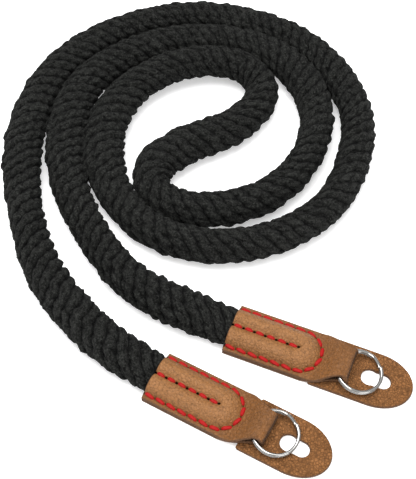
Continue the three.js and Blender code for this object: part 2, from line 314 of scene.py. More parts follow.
def fill(tree, node, inputs):
    """Each of a node's inputs is linked from a socket or set to a value."""
    for key, value in inputs.items():
        if isinstance(value, bpy.types.NodeSocket):
            tree.links.new(value, node.inputs[key])
        else:
            node.inputs[key].default_value = value


def add(tree, kind, inputs=None, **settings):
    """One shader node with its settings and inputs."""
    made = tree.nodes.new(kind)
    for key, value in settings.items():
        setattr(made, key, value)
    fill(tree, made, inputs or {})
    return made


def new_material(name):
    """A material with its Principled shader, cleared of everything else."""
    material = bpy.data.materials.new(name)
    material.use_nodes = True
    tree = material.node_tree
    tree.nodes.clear()
    shader = add(tree, "ShaderNodeBsdfPrincipled")
    add(tree, "ShaderNodeOutputMaterial", {"Surface": shader.outputs["BSDF"]})
    return material, tree, shader


def sums(tree, operation, a, b=0.0):
    """One step of arithmetic on two values or sockets."""
    return add(tree, "ShaderNodeMath", {0: a, 1: b}, operation=operation).outputs[0]


def ramp(tree, value, low, high, start=0.0, end=1.0):
    """Value mapped from low..high to start..end and held there outside."""
    ins = {"Value": value, "From Min": low, "From Max": high, "To Min": start, "To Max": end}
    return add(tree, "ShaderNodeMapRange", ins).outputs["Result"]


def blend(tree, share, a, b):
    """Two colours mixed by a share."""
    return add(tree, "ShaderNodeMix", {0: share, 6: a, 7: b}, data_type="RGBA").outputs[2]


def noise(tree, vector, scale, detail=3.0, rough=0.55, distortion=0.0):
    """Noise value at a place, with its grain in features for each metre or each UV unit."""
    ins = {"Vector": vector, "Scale": scale, "Detail": detail, "Roughness": rough, "Distortion": distortion}
    return add(tree, "ShaderNodeTexNoise", ins).outputs[0]


def bump(tree, height, strength, distance, normal=None):
    """Bump from a height, on top of another bump where one is given."""
    ins = {"Height": height, "Strength": strength, "Distance": distance}
    if normal is not None:
        ins["Normal"] = normal
    return add(tree, "ShaderNodeBump", ins).outputs[0]


def rgba(color, gain=1.0):
    """Colour with its alpha, made lighter or darker by one gain or by a gain for each channel."""
    gains = gain if isinstance(gain, tuple) else (gain,) * 3
    return (color[0] * gains[0], color[1] * gains[1], color[2] * gains[2], 1.0)


def color_setting(name, description, default):
    """A colour that the panel shows."""
    return FloatVectorProperty(
        name=name, description=description, default=default, min=0.0, max=1.0, size=3, subtype="COLOR")


class StrapRopeSettings(PropertyGroup):
    radius: FloatProperty(
        name="Rope radius", description="Half the rope's thickness over its stitches",
        default=0.00605, min=0.004, max=0.008, precision=5, unit="LENGTH")
    pitch: FloatProperty(
        name="Stitch pitch", description="Length of rope that one row of stitches takes",
        default=0.0046, min=0.002, max=0.01, precision=4, unit="LENGTH")
    relief: FloatProperty(
        name="Stitch relief", description="Height of the stitches over their grooves",
        default=0.0015, min=0.0, max=0.002, precision=5, unit="LENGTH")
    unevenness: FloatProperty(
        name="Unevenness", description="How much the rope's thickness varies", default=0.03,
        min=0.0, max=0.1, subtype="FACTOR")
    color: color_setting(
        "Yarn colour", "Colour of the yarn on top of the stitches", (0.0160, 0.0165, 0.0152))
    # Painted shade: the yarn's colour darkened down in the grooves between the stitches
    groove_shade_color: color_setting(
        "Groove colour", "Colour down between the stitches", (0.0016, 0.0017, 0.0017))


class StrapLeatherSettings(PropertyGroup):
    sleeve_color: color_setting("Sleeve colour", "Smooth tan grain of the sleeves", (0.215, 0.084, 0.019))
    guard_color: color_setting("Guard colour", "Pebbled tan of the guards", (0.262, 0.108, 0.031))
    # Also darkened to half for the painted shade over the fold's front and for the inner face
    edge_and_fold_shade_color: color_setting("Cut edge colour", "Raw edge of the leather", (0.115, 0.05, 0.018))
    grain: FloatProperty(
        name="Grain", description="Strength of the leather's grain", default=0.5, min=0.0, max=1.0,
        subtype="FACTOR")


class StrapThreadSettings(PropertyGroup):
    color: color_setting("Thread colour", "Waxed thread of the stitching", (0.42, 0.006, 0.006))
    side_stitches: IntProperty(
        name="Stitches in the curved row", description="Stitches from mouth to mouth round the rope's end",
        default=18, min=8, max=40)
    middle_stitches: IntProperty(
        name="Stitches in the middle row", description="Stitches down the middle of the sleeve",
        default=6, min=3, max=12)


class StrapRingSettings(PropertyGroup):
    wire_width: FloatProperty(
        name="Wire width", description="Width of the ring's wire, outwards", default=0.00105,
        min=0.0006, max=0.002, precision=4, unit="LENGTH")
    wire_height: FloatProperty(
        name="Wire height", description="Height of one coil of the ring", default=0.00076,
        min=0.0005, max=0.0009, precision=5, unit="LENGTH")
    roughness: FloatProperty(
        name="Plating roughness", description="Roughness of the nickel plating", default=0.05,
        min=0.0, max=1.0, subtype="FACTOR")


class StrapStageSettings(PropertyGroup):
    floor_color: color_setting("Floor colour", "Plain pale floor", (0.9, 0.9, 0.9))
    floor_glow: FloatProperty(
        name="Floor glow", description="Light that the floor gives back by itself, as a light table does",
        default=0.45, min=0.0, max=2.0)
    sky: FloatProperty(
        name="Surrounding light", description="Strength of the even light all round", default=0.75,
        min=0.0, max=5.0)
    key_power: FloatProperty(
        name="Key light", description="Power of the large light overhead", default=9.0, min=0.0,
        max=200.0, unit="POWER")


def catmull_rom(points, per_span):
    """Centripetal Catmull-Rom spline: every span is a cubic between two points whose slopes come from the
    neighbours, with the square roots of the distances between the points as the steps."""
    p0 = np.vstack([2 * points[0] - points[1], points[:-2]])
    p1, p2 = points[:-1], points[1:]
    p3 = np.vstack([points[2:], 2 * points[-1] - points[-2]])
    d0, d1, d2 = (np.sum((b - a) ** 2, axis=1)[:, None] ** 0.25 for a, b in ((p0, p1), (p1, p2), (p2, p3)))
    m1 = ((p1 - p0) / d0 - (p2 - p0) / (d0 + d1) + (p2 - p1) / d1) * d1
    m2 = ((p2 - p1) / d1 - (p3 - p1) / (d1 + d2) + (p3 - p2) / d2) * d1
    t = (np.arange(per_span) / per_span)[None, :, None]
    p1, p2, m1, m2 = (v[:, None, :] for v in (p1, p2, m1, m2))
    curve = p1 + m1 * t + (-3 * p1 + 3 * p2 - 2 * m1 - m2) * t**2 + (2 * p1 - 2 * p2 + m1 + m2) * t**3
    return np.vstack([curve.reshape(-1, points.shape[1]), points[-1]])


def rope_line(count):
    """The rope's middle line before it is squeezed, as evenly spaced points, with how much wider it lies
    at each and its distances in mm."""
    def inside(letter, *distances):
        x = np.array(distances)
        placed = place_end(np.stack([x, 0 * x, 0 * x + ROPE_MIDDLE_Z], axis=-1), letter)
        return np.column_stack([placed, np.where(x > 0, 0.0, WIDER_AT_MOUTH)])

    half = ROPE_IN_SLEEVE / 2
    route = np.array(ROUTE, dtype=float) + (0, 0, ROPE_MIDDLE_Z, 0)
    points = np.vstack([inside("b", ROPE_IN_SLEEVE, half, 0), route, inside("a", 0, half, ROPE_IN_SLEEVE)])
    dense = catmull_rom(points, 60)
    run = np.concatenate([[0], np.cumsum(np.linalg.norm(np.diff(dense[:, :3], axis=0), axis=1))])
    s = np.linspace(0, run[-1], count)
    line = np.stack([np.interp(s, run, dense[:, k]) for k in range(4)], axis=-1)
    return line[:, :3], line[:, 3:], s


def squeeze(points):
    """Near each mouth the rope's section goes from a circle to a flat oval: heights shrink about a middle
    that sinks, the top takes a bell-shaped dip along its middle, and inside the sleeve the width draws in a
    little, all by smooth steps along the end."""
    out = points.copy()
    for end in ENDS.values():
        c, s = math.cos(math.radians(end["turn"])), math.sin(math.radians(end["turn"]))
        dx, dy = out[..., 0] - end["x"], out[..., 1] - end["y"]
        x, y = dx * c + dy * s, dy * c - dx * s
        near = (x > -SQUEEZE_LENGTH) & (np.abs(y) <= SQUEEZE_REACH)
        share = smooth(-SQUEEZE_LENGTH, 0.0, x)
        flat = mix(1.0, SQUEEZED_HEIGHT / (2 * ROPE_MIDDLE_Z), share)
        z = mix(ROPE_MIDDLE_Z, SQUEEZED_MIDDLE_Z, share) + (out[..., 2] - ROPE_MIDDLE_Z) * flat
        upper = smooth(SQUEEZED_MIDDLE_Z, SQUEEZED_DIP_ABOVE, z)
        z = z - SQUEEZED_DIP * share * np.exp(-((y / VALLEY_HALF_W) ** 2)) * upper
        y = y * mix(1.0, DRAWN_IN, smooth(*DRAWN_IN_RUN, x))
        out[..., 2] = np.where(near, z, out[..., 2])
        out[..., 0] = np.where(near, end["x"] + x * c - y * s, out[..., 0])
        out[..., 1] = np.where(near, end["y"] + x * s + y * c, out[..., 1])
    return out


def rope_surface(settings):
    """A tube round the rope's line whose radius carries the knitted stitches. With s along the rope, turn
    from its top towards the left, and the pitch p, ridges lie between grooves where A = s/p + 5 turns is
    whole, and swell as a half circle raised to a power. Each ridge is parted into stitches where 11 turns
    plus a third of A's fraction is whole: it sinks there, and the power grows, so that a pit forms in the
    groove. The relief is coarser near the sleeves. The ends round off to a point, the underside is flattened
    on the floor, and the mouths squeeze it."""
    line, wider, s = rope_line(ROPE_RINGS)
    ahead = unit(np.gradient(line, axis=0))
    left = unit(np.cross([0.0, 0.0, 1.0], ahead))
    up = np.cross(ahead, left)
    turn = np.linspace(-math.pi, math.pi, ROPE_SIDES + 1)[None, :]
    along = s[:, None]
    pitch, radius, relief = settings.pitch / MM, settings.radius / MM, settings.relief / MM
    u = (along + ROW_WANDER * ripple(along, turn, seed=3, length=40.0)) / pitch + 0.0 * turn
    v = turn / (2 * math.pi) + 0.0 * along
    u = u + STITCH_WANDER * ripple(along, turn, seed=5, waves=14, length=9.0, most_round=5)
    steep = (u + STEEP_STARTS * v) % 1.0
    shallow = (STITCH_STARTS * v + PARTING_SLANT * steep) % 1.0
    swell = np.sqrt(np.clip(1 - (2 * steep - 1) ** 2, 0, 1))
    cross = np.sqrt(np.clip(1 - (2 * shallow - 1) ** 2, 0, 1))
    height = swell ** (PIT_POWER[0] + PIT_POWER[1] * (1 - cross)) * mix(PARTING_HEIGHT, 1.0, cross)
    stitches = 1 + STITCH_UNEVENNESS * ripple(along, turn, seed=11, waves=16, length=7.0, most_round=6)
    yarns = YARN_UNEVENNESS * ripple(along, turn, seed=13, waves=24, length=2.2, most_round=14)
    height = height * stitches + yarns
    into = np.minimum(along, s[-1] - along)
    to_mouth = into - ROPE_IN_SLEEVE
    size = 1 + settings.unevenness * ripple(along, 0 * turn, seed=17, waves=7, length=90.0)
    coarse = 1 - smooth(*COARSE_RUN, to_mouth)
    relief = relief * mix(FINE_RELIEF, COARSE_RELIEF, coarse)
    wide = 1 + WIDE_SHARE * (1 - smooth(*WIDE_RUN, to_mouth)) + wider / radius
    r = (radius - relief * mix(1.0, COARSE_SINK, coarse)) * size + relief * height
    r = r * np.sqrt(np.clip(1 - np.clip(1 - into / ROPE_CAP, 0, 1) ** 2, 0, 1))
    around = np.cos(turn)[..., None] * up[:, None, :]
    around = around + (wide * np.sin(turn))[..., None] * left[:, None, :]
    points = line[:, None, :] + r[..., None] * around
    low = points[..., 2] - FLOOR_TOUCH
    points[..., 2] = FLOOR_TOUCH + 0.5 * (low + np.sqrt(low**2 + FLOOR_SOFTNESS**2))
    # Strength of the painted shade in the grooves and of the shading relief: full near the ends, less where
    # the stitches are fine
    marks = {"groove_shade_and_relief": mix(FINE_SHADE, 1.0, coarse) + 0.0 * turn}
    return squeeze(points), np.stack([u, v], axis=-1), marks, squeeze(line)


def rope_material(settings):
    """Black knitted cotton: painted shade darkens the yarn into the grooves between the ridges, which are
    worked out from the UV map and are a little softer, with lighter painted shade, away from the rope's ends,
    and fine fibres run along each ridge."""
    material, tree, shader = new_material("knitted_black_cotton")
    uv = add(tree, "ShaderNodeUVMap", uv_map="surface").outputs[0]
    split = add(tree, "ShaderNodeSeparateXYZ", {0: uv})
    u, v = split.outputs[0], split.outputs[1]
    ridge = sums(tree, "ADD", u, sums(tree, "MULTIPLY", v, float(STEEP_STARTS)))
    slant = sums(tree, "MULTIPLY", sums(tree, "FRACT", ridge), PARTING_SLANT)
    parting = sums(tree, "ADD", sums(tree, "MULTIPLY", v, float(STITCH_STARTS)), slant)

    def hump(value, power):
        part = sums(tree, "FRACT", value)
        other = sums(tree, "SUBTRACT", 1.0, part)
        return sums(tree, "POWER", sums(tree, "MULTIPLY", sums(tree, "MULTIPLY", part, 4.0), other), power)

    place = add(tree, "ShaderNodeTexCoord").outputs["Object"]
    lumps = noise(tree, place, 420.0, 3.0, 0.6)
    # Painted shade in the grooves is lighter away from the rope's ends
    groove_shade_and_relief = add(tree, "ShaderNodeAttribute", attribute_name="groove_shade_and_relief").outputs["Fac"]
    even = sums(tree, "MULTIPLY", sums(tree, "SUBTRACT", 1.0, groove_shade_and_relief), 0.7)
    cross = hump(parting, 0.5)
    crown = hump(ridge, sums(tree, "SUBTRACT", 1.9, sums(tree, "MULTIPLY", cross, 1.4)))
    crown = sums(tree, "ADD", sums(tree, "MULTIPLY", crown, groove_shade_and_relief), even)
    height = sums(tree, "MULTIPLY", crown, sums(tree, "ADD", 0.6, sums(tree, "MULTIPLY", cross, 0.4)))
    strands = add(tree, "ShaderNodeCombineXYZ", {
        0: sums(tree, "MULTIPLY", ridge, 4.0), 1: sums(tree, "MULTIPLY", parting, 1.6)}).outputs[0]
    fibre = noise(tree, strands, 1.0, 3.0, 0.6, 0.4)
    fuzz = noise(tree, place, 1500.0, 4.0, 0.8)
    patches = noise(tree, place, 90.0, 2.0)
    yarn = blend(tree, ramp(tree, patches, 0.3, 0.7), rgba(settings.color, 0.8), rgba(settings.color, 1.2))
    yarn = blend(tree, ramp(tree, fibre, 0.36, 0.48, 1.0, 0.0), yarn, rgba(settings.color, 0.12))
    yarn = blend(tree, ramp(tree, fibre, 0.52, 0.66, 0.0, 0.6), yarn, rgba(settings.color, 2.0))
    yarn = blend(tree, ramp(tree, fuzz, 0.52, 0.62, 0.0, 0.9), yarn, rgba(settings.color, 3.1))
    yarn = blend(tree, ramp(tree, fuzz, 0.38, 0.48, 0.9, 0.0), yarn, rgba(settings.color, 0.25))
    # Painted shade: the yarn goes to the groove's shade colour down in the grooves and pits
    depth = ramp(tree, sums(tree, "ADD", height, ramp(tree, lumps, 0.3, 0.7, -0.25, 0.25)), 0.05, 0.75)
    base = blend(tree, depth, rgba(settings.groove_shade_color), yarn)
    lint = ramp(tree, noise(tree, place, 900.0, 1.0), 0.8, 0.84)
    base = blend(tree, sums(tree, "MULTIPLY", lint, 0.4), base, LINT_COLOR)
    normal = bump(tree, height, 0.9, 0.001)
    normal = bump(tree, lumps, 0.7, 0.0012, normal)
    normal = bump(tree, fibre, 0.9, 0.0008, normal)
    normal = bump(tree, fuzz, 0.9, 0.0007, normal)
    fill(tree, shader, {"Base Color": base, "Normal": normal, "Roughness": 0.95, "Specular IOR Level": 0.08,
                        "Sheen Weight": 0.02, "Sheen Roughness": 0.5})
    return material


class STRAP_OT_rope(Operator):
    """Make the knitted rope from one sleeve to the other"""

    bl_idname = "strap.make_rope"
    bl_label = "Rope"

    def execute(self, context):
        settings = context.scene.strap_rope
        points, uv, marks, path = rope_surface(settings)
        material = rope_material(settings)
        rope = make_piece("rope_knit", [(points, uv, marks)], material, "strap", ["rope"])
        return {"FINISHED"}


def arch_height(x, y):
    """Rise of the sleeve over the rope's end: h (1 - out^p) over a track with a round end, where out is the
    distance from the track's middle over its half width, less a valley along the middle row of stitches
    shaped as a bell curve. A rounded maximum with 0 makes the fillet at its foot."""
    out = np.hypot(np.maximum(0.0, x - U_CENTRE_X), y) / ARCH_HALF_W
    rise = ARCH_RISE * (1 - ARCH_NOSE_DROP * smooth(*ARCH_NOSE_RUN, x)) * (1 - out**ARCH_FULLNESS)
    rise = 0.5 * (rise + np.sqrt(rise**2 + ARCH_FILLET**2)) - ARCH_FOOT_SINK
    in_row = 1 - smooth(ROW_END - ROW_FADE, ROW_END + ROW_FADE, x)
    return np.maximum(rise, 0.0) - VALLEY_DEPTH * in_row * np.exp(-((y / VALLEY_HALF_W) ** 2))


def sleeve_half_width(x):
    """Half width of the leather strip: full, then drawn in to the fold by a smooth step."""
    return mix(SLEEVE_HALF_W, FOLD_HALF_W, smooth(*TAPER, x))


def sleeve_under(x):
    """Height of the underside, which steps up onto the guard."""
    return (GUARD_T + CLEAR) * smooth(*STEP, x)


def row_dip(x, y):
    """The thread pulls the leather in along both rows: a narrow bell curve over the distance to the row."""
    curved = np.abs(np.hypot(np.maximum(0.0, x - U_CENTRE_X), y) - ROW_OUT)
    middle = np.hypot(np.maximum(0.0, x - ROW_END), y)
    depth, half_width = ROW_DIP
    return depth * np.exp(-((np.minimum(curved, middle) / half_width) ** 2))


def sleeve_top(x, y):
    """Height of the upper face: the flange, rising over the ring by a smooth step, plus the arch over the
    rope, less the dip along the rows of stitches."""
    flange = mix(2 * LEATHER_T, GUARD_T + CLEAR + 2 * FOLD_OUTER_R, smooth(*RISE, x))
    return flange + arch_height(x, y) - row_dip(x, y)


def row_places(settings):
    """Middles and directions of all stitches, and the needle holes between them. The curved row runs up
    one side, round a half circle and back, and the middle row runs straight."""
    straight = U_CENTRE_X - ROW_START
    length = 2 * straight + math.pi * ROW_OUT

    def on_row(run):
        bend = np.clip((run - straight) / ROW_OUT, 0.0, math.pi)
        x = np.where(run < straight, ROW_START + run, U_CENTRE_X + ROW_OUT * np.sin(bend))
        x = np.where(run > length - straight, ROW_START + length - run, x)
        return x, -ROW_OUT * np.cos(bend), bend

    pitch = length / settings.side_stitches
    x, y, way = on_row((np.arange(settings.side_stitches) + 0.5) * pitch)
    hole_x, hole_y, _ = on_row(np.arange(settings.side_stitches + 1) * pitch)
    step = (ROW_END - ROW_START) / settings.middle_stitches
    middle = ROW_START + (np.arange(settings.middle_stitches) + 0.5) * step
    holes = ROW_START + np.arange(settings.middle_stitches + 1) * step
    x, y = np.concatenate([x, middle]), np.concatenate([y, 0 * middle])
    way = np.concatenate([way, 0 * middle])
    reach = np.concatenate([np.full(settings.side_stitches, pitch), np.full(settings.middle_stitches, step)])
    hole_x, hole_y = np.concatenate([hole_x, holes]), np.concatenate([hole_y, 0 * holes])
    return x, y, way, reach, hole_x, hole_y


def spread(*runs):
    """Numbers through several runs, each (from, to, steps), with the shared ends once."""
    parts = [np.linspace(start, end, steps, endpoint=False) for start, end, steps in runs]
    return np.concatenate(parts + [[runs[-1][1]]])


def fold_shade(bend):
    """How much painted shade darkens the fold's face at an angle round it: full over its front by smooth
    steps, with a bell curve more of painted shade along the crease at either side."""
    strength, comes, goes = FOLD_FRONT
    shade = strength * smooth(*comes, bend) * (1 - smooth(*goes, bend))
    for strength, place, width in FOLD_CREASES:
        shade = shade + strength * np.exp(-(((bend - place) / width) ** 2))
    return shade


def sleeve_surface(letter, threads):
    """One strip of leather folded round the ring. Its outer face runs along the underside, round a half
    circle and back over the top; the inner face lies one thickness inside along the normal, and both meet
    at the cut edges, where the thickness rounds off. The fold's end bulges out until it lies against the
    ring's inner edge, and needle holes are small bell-shaped dips."""
    x_run = spread((MOUTH, 0, 6), (0, 24, 70), (24, FOLD_END - FOLD_OUTER_R, 40))
    angle = np.linspace(0, math.pi, 19)[1:-1]
    w = spread((-1, -0.94, 6), (-0.94, 0.94, 66), (0.94, 1, 6))[None, :]
    turn_x = FOLD_END - FOLD_OUTER_R + FOLD_OUTER_R * np.sin(angle)
    x = np.concatenate([x_run, turn_x, x_run[::-1]])[:, None]
    over = np.zeros(len(x))
    over[len(x_run) + len(angle):] = 1.0
    y = w * sleeve_half_width(x)
    middle_z = GUARD_T + CLEAR + FOLD_OUTER_R
    bend = np.zeros(len(x))
    bend[len(x_run):len(x_run) + len(angle)] = angle
    in_bend = (bend > 0)[:, None]
    z = np.where(over[:, None] > 0, sleeve_top(x, y), sleeve_under(x) + 0 * y)
    z = np.where(in_bend, middle_z - FOLD_OUTER_R * np.cos(bend)[:, None], z)
    x = x + 0 * y
    seat = np.sqrt(np.clip(RING_SEAT_R**2 - y**2, 0.0, None))
    bulge = ENDS[letter]["ring_x"] - seat + RING_SEAT_OVER - (FOLD_END - LEATHER_T)
    bulge = np.where(np.abs(y) < RING_SEAT_R, np.clip(bulge, 0.0, RING_SEAT_MOST), RING_SEAT_MOST)
    x = x + bulge * smooth(*RING_SEAT_RUN, x)

    _, _, _, _, hole_x, hole_y = row_places(threads)
    off_x, off_y = x[..., None] - hole_x, y[..., None] - hole_y
    in_side = np.arange(len(hole_x)) <= threads.side_stitches
    off_x = np.where(in_side, off_x, off_x / MIDDLE_HOLE_LONG)
    strength = np.where(in_side, SIDE_HOLE[0], 1.0)
    hole_r = np.where(in_side, SIDE_HOLE[1], MIDDLE_HOLE_R)
    hole = (strength * np.exp(-((np.hypot(off_x, off_y) / hole_r) ** 2))).max(axis=-1) * over[:, None]
    z = z - HOLE_DEPTH * hole

    outer = np.stack([x, y, z], axis=-1)
    normal = -unit(np.cross(np.gradient(outer, axis=0), np.gradient(outer, axis=1)))
    edge = (1 - np.abs(w)) * sleeve_half_width(x)
    mouth = np.concatenate([x_run, np.full(len(angle), FOLD_END), x_run[::-1]])[:, None] - MOUTH + 0 * y
    full = rounding(edge, EDGE_ROUND) * rounding(mouth, EDGE_ROUND)
    half = (LEATHER_T - SKIVED * over[:, None] * smooth(*SKIVED_RUN, x)) / 2
    top = outer - normal * (LEATHER_T / 2 - half * full)[..., None]
    inner = outer - normal * (LEATHER_T / 2 + half * full)[..., None]
    raw = 1 - smooth(0.0, RAW_EDGE, np.minimum(edge, mouth))
    # Share of the arch's height, which sets the painted highlight on the leather over the rope
    arch_highlight = over[:, None] * np.clip(arch_height(x, y) / ARCH_RISE, 0.0, 1.0)
    uv = np.stack([x / 10 + over[:, None] * 10, y / 10], axis=-1)
    # The inside mark is painted shade over the fold's front and its creases; on the inner face it darkens the
    # whole face
    marks = {"edge": raw, "hole": hole, "inside": fold_shade(bend)[:, None], "arch_highlight": arch_highlight}
    dark = {"edge": raw, "hole": 0.0, "inside": 1.0, "arch_highlight": 0.0}
    aside = np.array([0.0, ENDS[letter]["sleeve_y"], 0.0])
    return [(place_end(top + aside, letter), uv, marks), (place_end(inner + aside, letter), uv, dark)]


def leather_material(name, color, settings, kind):
    """Tan leather. The grain is noise and cells in the leather's own place, the colour drifts in soft patches
    and takes a painted highlight over the rope's arch, painted shade darkens the creases between the cells,
    the needle holes and the fold's front, the cut edges are darker, and the inside is darker and rough."""
    material, tree, shader = new_material(name)
    place = add(tree, "ShaderNodeTexCoord").outputs["Object"]
    edge, hole, inside, arch_highlight = (
        add(tree, "ShaderNodeAttribute", attribute_name=mark).outputs["Fac"]
        for mark in ("edge", "hole", "inside", "arch_highlight"))
    patches = noise(tree, place, 130.0, 4.0, 0.6)
    mottle = noise(tree, place, kind["mottle"], 3.0, 0.75)
    bend = add(tree, "ShaderNodeTexNoise", {"Vector": place, "Scale": 500.0}).outputs[1]
    bend = add(tree, "ShaderNodeVectorMath", {0: bend, 1: (CELL_BEND,) * 3}, operation="MULTIPLY").outputs[0]
    bent = add(tree, "ShaderNodeVectorMath", {0: place, 1: bend}).outputs[0]
    cells = add(tree, "ShaderNodeTexVoronoi", {"Vector": bent, "Scale": kind["cells"]},
                feature="DISTANCE_TO_EDGE").outputs["Distance"]

    tone = blend(tree, ramp(tree, patches, 0.32, 0.68), rgba(color, 0.86), rgba(color, 1.12))
    # Painted highlight: the leather over the rope's arch is lighter
    tone = blend(tree, sums(tree, "MULTIPLY", arch_highlight, 0.9), tone, rgba(color, ARCH_HIGHLIGHT_GAIN))
    tone = blend(tree, ramp(tree, mottle, 0.5, 0.62, 0.0, kind["spots"]), tone, rgba(color, 0.5))
    tone = blend(tree, ramp(tree, mottle, 0.32, 0.5, kind["spots"], 0.0), tone, rgba(color, LIGHT_SPOTS))
    # Painted shade in the creases between the grain's cells
    tone = blend(tree, ramp(tree, cells, 0.0, 0.16, kind["creases"], 0.0), tone, rgba(color, 0.4))
    # Painted shade over the fold's front and creases, and the darker inner face
    tone = blend(tree, inside, tone, rgba(settings.edge_and_fold_shade_color, 0.5))
    worn = sums(tree, "MULTIPLY", edge, ramp(tree, mottle, 0.3, 0.7, 1.0, 0.8))
    tone = blend(tree, worn, tone, rgba(settings.edge_and_fold_shade_color))
    # Painted shade: the needle holes go near black
    tone = blend(tree, ramp(tree, hole, 0.25, 0.65, 0.0, 1.0), tone, HOLE_SHADE_COLOR)

    rough = ramp(tree, mottle, 0.3, 0.7, *kind["rough"])
    rough = sums(tree, "MAXIMUM", rough, sums(tree, "MULTIPLY", sums(tree, "MAXIMUM", edge, inside), 0.85))
    shine = ramp(tree, hole, 0.2, 0.6, kind["shine"], 0.0)
    grain = settings.grain
    normal = bump(tree, mottle, grain * 1.6, 0.0004)
    normal = bump(tree, ramp(tree, cells, 0.0, 0.25), grain * kind["cell_depth"], 0.0003, normal)
    normal = bump(tree, noise(tree, place, 300.0, 3.0, 0.6), grain, 0.001, normal)
    fill(tree, shader, {"Base Color": tone, "Roughness": rough, "Specular IOR Level": shine,
                        "Normal": normal})
    return material


class STRAP_OT_sleeves(Operator):
    """Make the two folded leather sleeves"""

    bl_idname = "strap.make_sleeves"
    bl_label = "Leather sleeves"

    def execute(self, context):
        settings, threads = context.scene.strap_leather, context.scene.strap_thread
        material = leather_material("tan_leather", settings.sleeve_color, settings, SMOOTH_GRAIN)
        for letter in ENDS:
            make_piece("sleeve_leather_" + letter, sleeve_surface(letter, threads), material, "strap",
                       ["leather_sleeve_" + letter])
        return {"FINISHED"}


def guard_outline(start):
    """The guard's outline, anticlockwise: a half ellipse for the free end and two slightly rounded corners
    at the straight end."""
    free = np.linspace(-math.pi / 2, math.pi / 2, 121)
    reach = GUARD_TIP - GUARD_OVAL_START
    oval = np.stack([GUARD_OVAL_START + reach * np.cos(free), GUARD_HALF_W * np.sin(free)], axis=-1)
    bend = np.linspace(0.0, math.pi / 2, 7)
    left, side = start + GUARD_CORNER, GUARD_HALF_W - GUARD_CORNER
    near, far = GUARD_CORNER * np.sin(bend), GUARD_CORNER * np.cos(bend)
    upper = np.stack([left - near, side + far], axis=-1)
    lower = np.stack([left - far, -side - near], axis=-1)

    def straight(first, last):
        return first + (last - first) * np.linspace(0.0, 1.0, 30)[1:-1, None]

    return np.vstack([oval, straight(oval[-1], upper[0]), upper, straight(upper[-1], lower[0]),
                      lower, straight(lower[-1], oval[0]), oval[:1]])


def keyhole_radius(angle):
    """Distance from the point inside the keyhole to its edge at an angle: the furthest reach of two discs
    and of the band between their sides."""
    def disc(middle, radius):
        off = middle - KEY_CENTRE
        under = radius**2 - (off * np.sin(angle)) ** 2
        return np.where(under > 0, off * np.cos(angle) + np.sqrt(np.maximum(under, 0)), 0.0)

    band = KEY_SLOT[1] / np.maximum(np.abs(np.sin(angle)), 1e-6)
    across = KEY_CENTRE + band * np.cos(angle)
    band = np.where((across > KEY_ROUND[0]) & (across < KEY_SLOT[0]), band, 0.0)
    return np.maximum(np.maximum(disc(*KEY_SLOT), disc(*KEY_ROUND)), band)


def guard_surface(letter):
    """A flat leather plate: rings of points go from the keyhole's edge to the outline along rays from a point
    inside the keyhole, and the thickness rounds off at both edges. The upper face waves by a sine along the
    guard times a cosine across it."""
    rim = guard_outline(ENDS[letter]["guard_start"])
    angle = np.arctan2(rim[:, 1], rim[:, 0] - KEY_CENTRE)
    hole_r = keyhole_radius(angle)
    hole = np.stack([KEY_CENTRE + hole_r * np.cos(angle), hole_r * np.sin(angle)], axis=-1)
    share = spread((0, 0.1, 7), (0.1, 0.93, 26), (0.93, 1, 7))[:, None, None]
    flat = hole[None] + (rim - hole)[None] * share
    span = np.linalg.norm(rim - hole, axis=-1)[None, :]
    edge = np.minimum(share[..., 0], 1 - share[..., 0]) * span
    half = GUARD_T / 2 * rounding(edge, EDGE_ROUND)
    raw = 1 - smooth(0.0, GUARD_RAW_EDGE, edge)
    x, y = flat[..., 0], flat[..., 1]
    along, across = GUARD_WAVE_TURNS
    wave = GUARD_WAVE * np.sin(x * along + GUARD_WAVE_SHIFT) * np.cos(y * across)
    wave = wave * smooth(0.0, GUARD_WAVE_FADE, edge)
    grids = []
    for side, z in ((1, GUARD_T / 2 + half + wave), (-1, np.maximum(GUARD_T / 2 - half, 0.0))):
        points = np.stack([x, y + ENDS[letter]["guard_y"], z], axis=-1)
        uv = np.stack([x / 10, y / 10 + side * 5], axis=-1)
        marks = {"edge": raw, "hole": 0.0, "inside": 0.0, "arch_highlight": 0.0}
        grids.append((place_end(points, letter), uv, marks))
    return grids


class STRAP_OT_guards(Operator):
    """Make the two leather guard flaps under the rings"""

    bl_idname = "strap.make_guards"
    bl_label = "Guard flaps"

    def execute(self, context):
        settings = context.scene.strap_leather
        material = leather_material("pebbled_leather", settings.guard_color, settings, PEBBLED_GRAIN)
        for letter in ENDS:
            make_piece("guard_leather_" + letter, guard_surface(letter), material, "strap",
                       ["guard_flap_" + letter])
        return {"FINISHED"}


